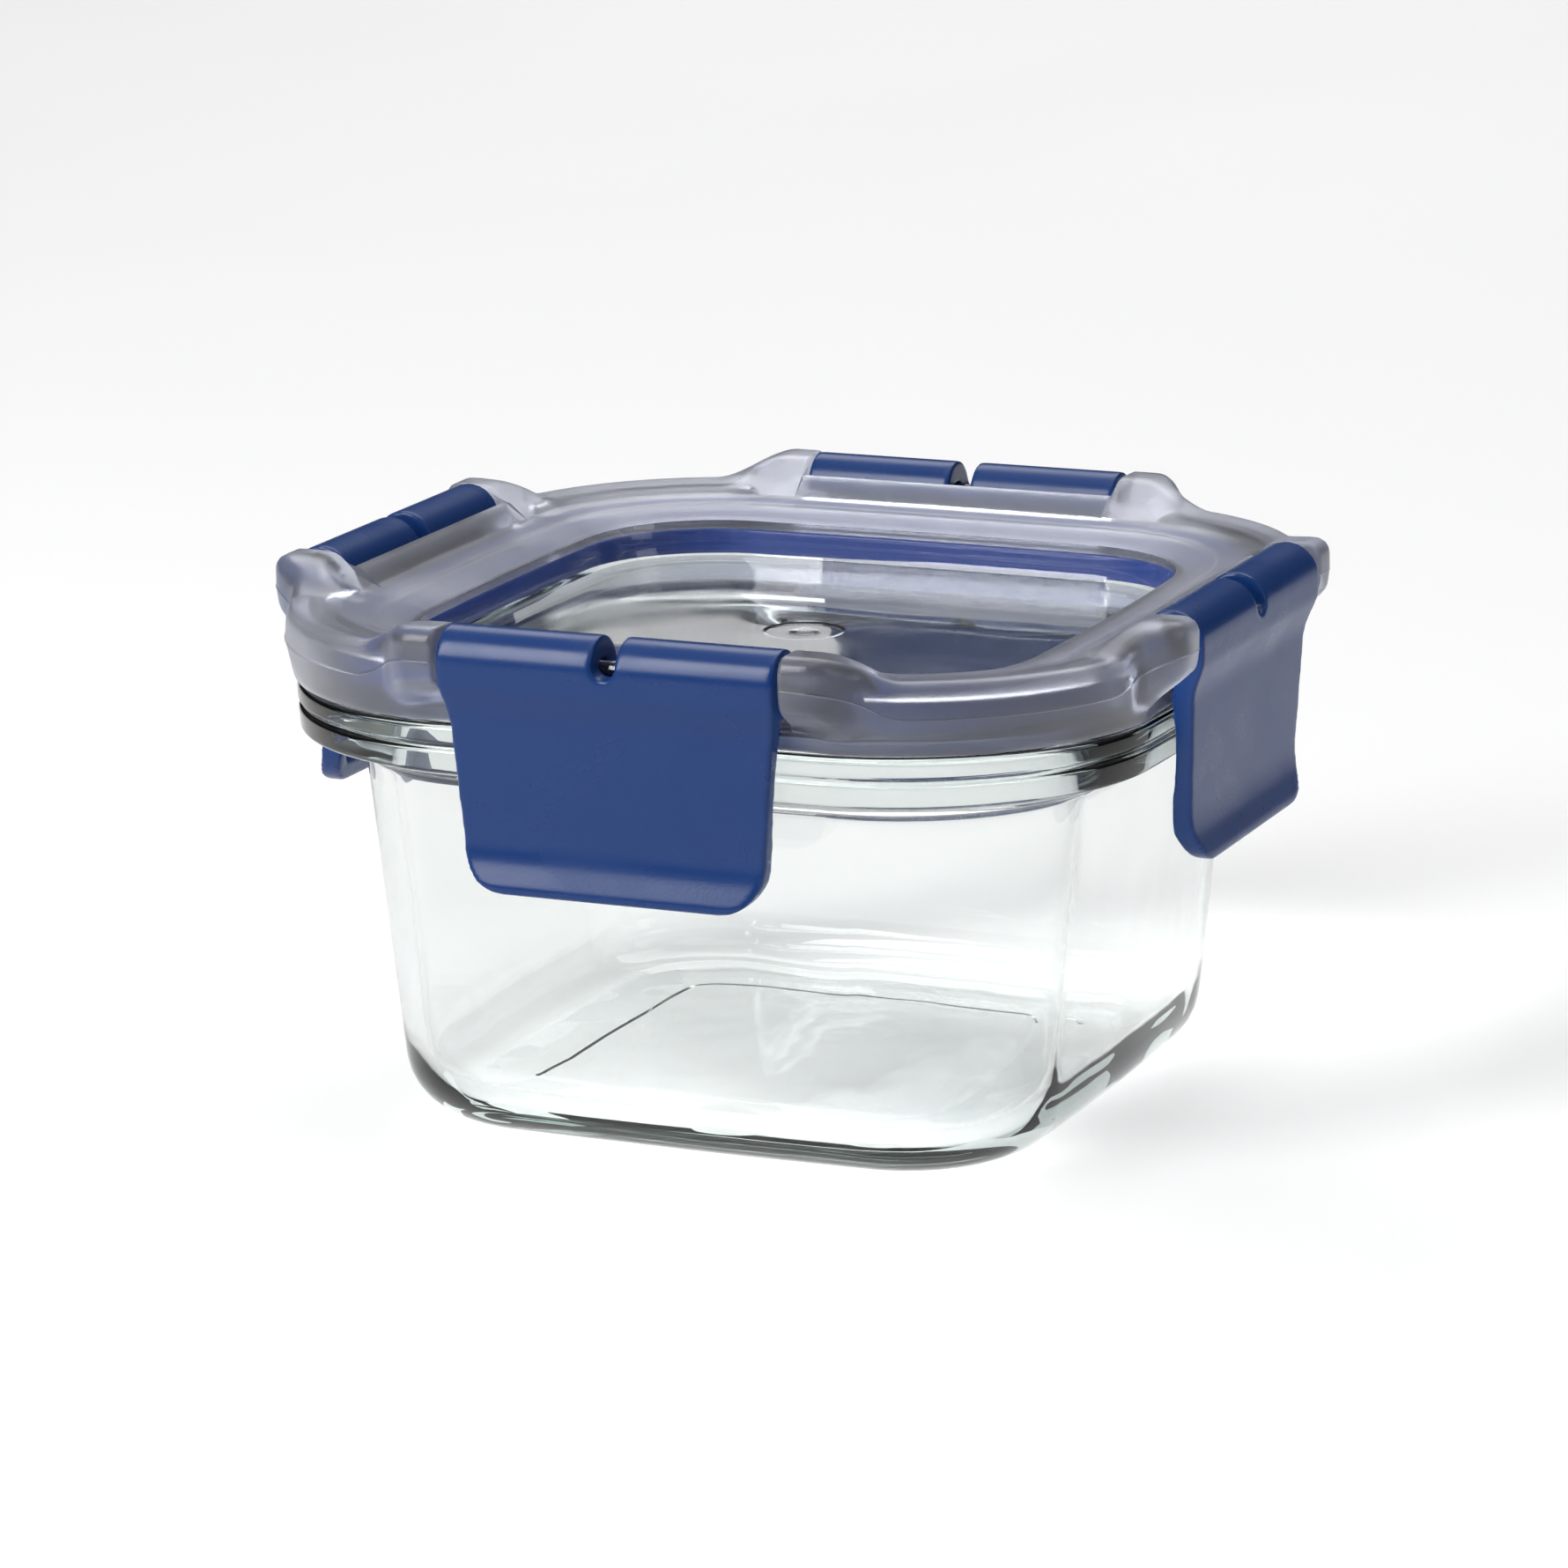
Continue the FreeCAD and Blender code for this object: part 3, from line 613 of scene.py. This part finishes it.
# The same corners at an ear and at a seat, from the hinge bar: (out, up, radius).
EAR = {6: (-10.2, -0.7, 1.5), 7: (-6.6, 1.2, 3.0), 8: (-3.2, 4.6, 3.4), 9: (4.8, 4.8, 4.7),
       10: (4.8, 0.0, 0), 11: (4.4, -3.3, 3.6), 12: (-1.6, -6.6, 3.0), 13: (-1.6, -10.1, 0.4)}
SEAT = {6: (-10.2, -0.7, 1.0), 7: (-6.8, 2.2, 0.8), 8: (-5.4, 2.4, 0.5), 9: (-5.4, -5.4, 0.7),
        10: (-1.6, -5.4, 0.5), 11: (-1.6, -6.0, 0), 12: (-1.6, -6.6, 0), 13: (-1.6, -10.1, 0.3)}
CLOSED_UNDER = {15: (-1.5, 71.5, 0.3), 16: (-2.7, 71.5, 0), 17: (-4.2, 71.5, 0)}
# Steps between one corner and the next.
STEPS = [5, 5, 3, 3, 2, 3, 5, 6, 6, 9, 7, 5, 4, 4, 5, 4, 4, 3, 5, 4, 5, 5, 6]
print("section has", len(PLAIN), "corners and", sum(STEPS) + 1, "points")


def ease(share):
    """Smooth step from 0 to 1."""
    share = min(max(share, 0.0), 1.0)
    return share * share * (3 - 2 * share)


# %% The section at one station
def lid_section(run, seat, edge=0.0):
    """Section points at run mm from the middle of a side; edge rounds the ear's end."""
    base, out = plan_point(run)
    past = run - EAR_X
    inward = ease((past - EAR_FLAT) / EAR_LOBE)
    downward = ease((past - EAR_FLAT) / EAR_TAIL)
    skirt = ease(past / SKIRT_TURN)
    relief = ease((past - RELIEF_FROM) / RELIEF_RUN)
    corners = list(PLAIN)
    for i, (s, up, radius) in (SEAT if seat else EAR).items():
        if edge and 6 < i < 12:
            s *= 1 - edge / EAR_R
            up *= 1 - edge / EAR_R
        near = ((PIN_Y + s + base.y) / -out.y, PIN_Z + up, radius)
        plain = PLAIN[i]
        share = (inward, downward, downward) if i < 12 else (skirt, skirt, skirt)
        if seat:
            share = (0, 0, 0)
        corners[i] = tuple(a + (b - a) * k for a, b, k in zip(near, plain, share))
    for i, near in CLOSED_UNDER.items():
        corners[i] = tuple(a + (b - a) * relief for a, b in zip(near, PLAIN[i]))
    groups = rounded(corners, 8)
    # The ring of a corner is cut at the middle of its arc, and each span is
    # then divided by length, so that points with the same number stay in line.
    line = [groups[0][0]]
    for i in range(len(groups) - 1):
        here, after = groups[i], groups[i + 1]
        span = here[len(here) // 2:] + after[:len(after) // 2 + 1]
        lengths = [0.0]
        for a, b in zip(span, span[1:]):
            lengths.append(lengths[-1] + (b - a).length)
        for k in range(1, STEPS[i] + 1):
            share = k / STEPS[i]
            if i == PARTING - 1:
                share = 1 - (1 - share) ** CROWD
            if i == PARTING:
                share = share ** CROWD
            want = share * lengths[-1]
            j = 1
            while j < len(lengths) - 1 and lengths[j] < want:
                j += 1
            part = (want - lengths[j - 1]) / max(lengths[j] - lengths[j - 1], 1e-9)
            line.append(span[j - 1].lerp(span[j], min(max(part, 0.0), 1.0)))
    # A fine raised line is left where the two halves of the mould met.
    if not seat:
        mark = sum(STEPS[:PARTING])
        line[mark] = line[mark] + Vector((PARTING_UP, 0.0))
    return [(base.x + out.x * p.x, base.y + out.y * p.x, p.y) for p in line]


# %% Stations from the middle of a side to the middle of the corner
stations = [(x, True, 0.0) for x in (0.0, 6.0, 12.0, 18.0, 22.0, 25.0, EAR_X)]
EAR_END = ((0, 0.55), (0.1, 0.32), (0.25, 0.14), (0.5, 0.03), (0.8, 0))
stations += [(EAR_X + a, False, b) for a, b in EAR_END]
spot = EAR_X + 1.6
while spot < QUARTER_RUN - 0.6:
    stations.append((spot, False, 0.0))
    spot += 0.85 if spot < EAR_X + 18 else 1.5
stations.append((QUARTER_RUN, False, 0.0))
half_rows = [lid_section(*station) for station in stations]
mirrored = [[(-x, y, z) for x, y, z in row] for row in reversed(half_rows[1:-1])]
quarter_rows = mirrored + half_rows
print("stations in a quarter:", len(quarter_rows))


# %% Rows for the window: from the plan shape to the round gate mark
WINDOW_Z = 69.7
WINDOW_UNDER_Z = 67.9
GATE_R = 6.5
GATE = [(GATE_R, 0.0), (6.1, -0.01), (5.9, -0.07), (5.6, -0.08),
        (2.4, -0.08), (2.15, -0.07), (1.9, -0.01), (0.0, 0.0)]
WINDOW_SHARES = (0.3, 0.6, 0.82)


def window_rows(start):
    """Points from the middle of the window out to a row's first point."""
    flat = Vector((start[0], start[1], 0))
    way = flat.normalized()
    rows = [(way.x * r, way.y * r, WINDOW_Z + dip) for r, dip in reversed(GATE)]
    for share in WINDOW_SHARES:
        p = (way * GATE_R).lerp(flat, share)
        rows.append((p.x, p.y, WINDOW_Z))
    return rows


def under_rows(start):
    """Points from a row's last point in to the middle of the underside."""
    return [(start[0] * k, start[1] * k, WINDOW_UNDER_Z) for k in (0.75, 0.5, 0.25, 0.0)]


# %% The lid's skin
def make_lid_mesh():
    """Closed grid of all stations; the outside is frosted, the rest polished."""
    rows = []
    for turn in range(4):
        cos_t = round(math.cos(turn * math.pi / 2))
        sin_t = round(math.sin(turn * math.pi / 2))
        for row in quarter_rows:
            full = window_rows(row[0]) + row + under_rows(row[-1])
            rows.append([(x * cos_t - y * sin_t, x * sin_t + y * cos_t, z) for x, y, z in full])
    wide = len(rows[0])
    mesh = bpy.data.meshes.new("lid_shell")
    points = [(x * MM, y * MM, z * MM) for row in rows for x, y, z in row]
    faces = []
    frosted = []
    # Frosting runs from the ring's inner edge (corner 2) to the skirt's foot (14).
    before = len(GATE) + len(WINDOW_SHARES)
    first = before + sum(STEPS[:2])
    last = before + sum(STEPS[:14])
    for i in range(len(rows)):
        ahead = (i + 1) % len(rows)
        for j in range(wide - 1):
            faces.append((i * wide + j, i * wide + j + 1, ahead * wide + j + 1, ahead * wide + j))
            frosted.append(1 if first <= j < last else 0)
    mesh.from_pydata(points, [], faces)
    mesh.materials.append(CLEAR_PLASTIC)
    mesh.materials.append(FROSTED_PLASTIC)
    mesh.polygons.foreach_set("material_index", frosted)
    return finish_mesh(mesh, 38)


lid = bpy.data.objects.new("lid_shell", make_lid_mesh())
bpy.context.scene.collection.objects.link(lid)
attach(lid, "lid")
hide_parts("lid")
lid.visible_shadow = False

# %% [markdown]
# The hinge bars run from ear to ear inside the latch barrels.  Only a glint
# of each is seen, in the notch of its barrel, so a short lathe profile with
# rounded shoulders is enough.

# %% Hinge bars
def make_bars():
    """Four round bars between the ears, in one mesh."""
    work = bmesh.new()
    profile = [(-EAR_X - 0.3, 0.0), (-EAR_X - 0.3, 1.30), (-EAR_X + 0.5, 1.36), (-4.0, 1.38),
               (-2.2, 1.44), (2.2, 1.44), (4.0, 1.38), (EAR_X - 0.5, 1.36),
               (EAR_X + 0.3, 1.30), (EAR_X + 0.3, 0.0)]
    around = 24
    for turn in range(4):
        spin = Matrix.Rotation(turn * math.pi / 2, 4, "Z")
        loops = []
        for x, r in profile:
            loop = []
            for k in range(around):
                angle = 2 * math.pi * k / around
                spot = Vector((x, -PIN_Y + r * math.cos(angle), PIN_Z + r * math.sin(angle))) * MM
                loop.append(work.verts.new(spin @ spot))
            loops.append(loop)
        for a, b in zip(loops, loops[1:]):
            for k in range(around):
                work.faces.new((a[k], a[(k + 1) % around], b[(k + 1) % around], b[k]))
    mesh = bpy.data.meshes.new("hinge_bars")
    work.to_mesh(mesh)
    work.free()
    mesh.materials.append(CLEAR_PLASTIC)
    return finish_mesh(mesh, 40)


bars = bpy.data.objects.new("hinge_bars", make_bars())
bpy.context.scene.collection.objects.link(bars)
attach(bars, "lid")

# %% [markdown]
# ## The latches
# Each latch is one moulding in navy plastic: a split barrel that clips on the
# hinge bar, a curved flap, side flanges and a hook rib inside.  The CAD latch
# has the right shape but knife-sharp edges.  A Bevel would trip over its many
# small faces, so the copy is welded, remeshed in fine voxels and smoothed,
# which rolls every edge over evenly as a real mould does.  All four are the
# same moulding, so it is made once and turned to its four sides.

# %% Soften the latch once
VOXEL = 0.00033


def softened(source, name, smooth_rounds):
    """Welded, voxel-remeshed and smoothed copy of a CAD node's mesh."""
    copy = bpy.data.objects.new(name, source.data.copy())
    bpy.context.scene.collection.objects.link(copy)
    copy.matrix_world = source.matrix_world
    work = bmesh.new()
    work.from_mesh(copy.data)
    bmesh.ops.remove_doubles(work, verts=work.verts, dist=0.000005)
    work.to_mesh(copy.data)
    work.free()
    remesh = copy.modifiers.new("voxels", "REMESH")
    remesh.mode = "VOXEL"
    remesh.voxel_size = VOXEL
    smooth = copy.modifiers.new("roll_edges", "SMOOTH")
    smooth.factor = 0.5
    smooth.iterations = smooth_rounds
    seen = copy.evaluated_get(bpy.context.evaluated_depsgraph_get())
    mesh = bpy.data.meshes.new_from_object(seen)
    bpy.data.objects.remove(copy)
    mesh.name = name
    mesh.materials.clear()
    mesh.materials.append(NAVY_PLASTIC)
    mesh.shade_smooth()
    print(name, len(mesh.polygons), "faces")
    return mesh


latch_mesh = softened(frame["nodes"]["latch_front"], "latch_moulding", 10)

# %% One copy on each side
for turns, side in enumerate(("front", "right", "back", "left")):
    body = next(name for name in frame["bodies"] if side in name)
    mesh = latch_mesh.copy()
    mesh.transform(Matrix.Rotation(math.pi / 2 * turns, 4, "Z"))
    latch = bpy.data.objects.new("latch_flap_" + side, mesh)
    bpy.context.scene.collection.objects.link(latch)
    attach(latch, body)
    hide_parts("latch_" + side)
    print(latch.name, "rides on", body)

# %% [markdown]
# ## Floor and light
# A plain pale floor runs past the frame on all sides.  A tall soft box in
# front and to the left gives the soft highlights on the hinge barrels and on
# the lips of the latches.  One overhead fills, one behind brightens the far
# floor that is seen through the glass, and one at the right lights that side.
# The dim band round the horizon is what a dark studio wall does: it draws the
# edges of clear glass as thin dark lines.

# %% Floor
floor_paper = finish("floor_paper", (0.93, 0.93, 0.93), smears=(2.0, 0.7, 0.8))
floor_mesh = bpy.data.meshes.new("floor")
floor_mesh.from_pydata([(-6, -6, 0), (6, -6, 0), (6, 6, 0), (-6, 6, 0)], [], [(0, 1, 2, 3)])
floor_mesh.materials.append(floor_paper)
floor = bpy.data.objects.new("floor", floor_mesh)
bpy.context.scene.collection.objects.link(floor)
floor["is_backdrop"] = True

# All lights and the world are scaled together by this.
LEVEL = 0.42

# %% World: bright overhead, dimmer towards the horizon
world = bpy.data.worlds.new("studio")
bpy.context.scene.world = world
world.use_nodes = True
w = Wiring(world.node_tree)
background = world.node_tree.nodes["Background"]
way = w.node("ShaderNodeSeparateXYZ", {"Vector": w.add("ShaderNodeTexCoord").outputs["Generated"]})
rise = w.add("ShaderNodeValToRGB")
w.put(rise.inputs["Fac"], way.outputs["Z"])
rise.color_ramp.elements[0].position = 0.0
rise.color_ramp.elements[0].color = (0.06, 0.062, 0.066, 1)
rise.color_ramp.elements[1].position = 0.75
rise.color_ramp.elements[1].color = (1, 1, 1, 1)
middle = rise.color_ramp.elements.new(0.32)
middle.color = (0.24, 0.245, 0.25, 1)
w.put(background.inputs["Color"], rise.outputs[0])
background.inputs["Strength"].default_value = 0.75 * LEVEL


# %% Soft boxes
def soft_box(name, at, aim, width, height, power):
    """Rectangular area light aimed at a point."""
    data = bpy.data.lights.new(name, "AREA")
    data.shape = "RECTANGLE"
    data.size = width
    data.size_y = height
    data.energy = power
    light = bpy.data.objects.new(name, data)
    bpy.context.scene.collection.objects.link(light)
    light.location = at
    light.rotation_euler = (Vector(aim) - Vector(at)).to_track_quat("-Z", "Y").to_euler()
    return light


soft_box("key", (-0.50, -0.80, 0.72), (0, 0, 0.06), 0.35, 0.80, 26 * LEVEL)
soft_box("top", (0.0, 0.1, 1.3), (0, 0.1, 0.0), 0.9, 0.9, 8 * LEVEL)
soft_box("back", (-0.5, 1.5, 1.7), (-0.5, 1.4, 0.0), 2.0, 1.4, 60 * LEVEL)
soft_box("right", (1.2, -0.1, 0.6), (0, 0, 0.05), 0.5, 0.8, 5 * LEVEL)
bpy.context.scene.view_settings.view_transform = "Standard"

shown_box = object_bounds()
for low, high in zip(cad_box, shown_box):
    print("CAD", [round(v * 1000, 2) for v in low], "shown", [round(v * 1000, 2) for v in high])
